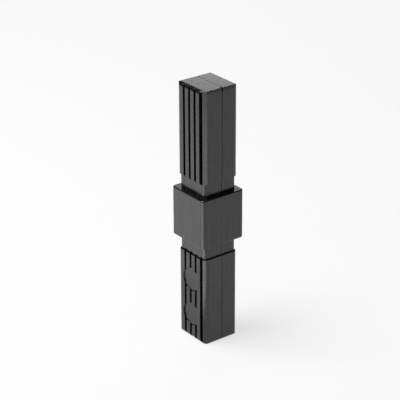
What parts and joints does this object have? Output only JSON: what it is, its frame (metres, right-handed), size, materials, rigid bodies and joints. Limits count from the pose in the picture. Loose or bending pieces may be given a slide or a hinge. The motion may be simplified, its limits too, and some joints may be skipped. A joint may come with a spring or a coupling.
{
  "type": "square tube connector",
  "caption": "Straight connector for square tube: a square collar as wide as the tube, with a slotted leg above and below it that pushes into a tube's end.",
  "frame": {"origin": "centre of the collar, halfway between the two ends", "axes": "+Z along the legs, up as the part stands in the picture; -Y out of the slotted face that has the two round pads; +X out of the plain side next to the front face's outermost slot"},
  "size_m": [0.02, 0.02, 0.107],
  "materials": {
    "nylon": "black moulded nylon, satin with a fine grain"
  },
  "bodies": {
    "root": {"connector": "nylon"}
  },
  "joints": []
}
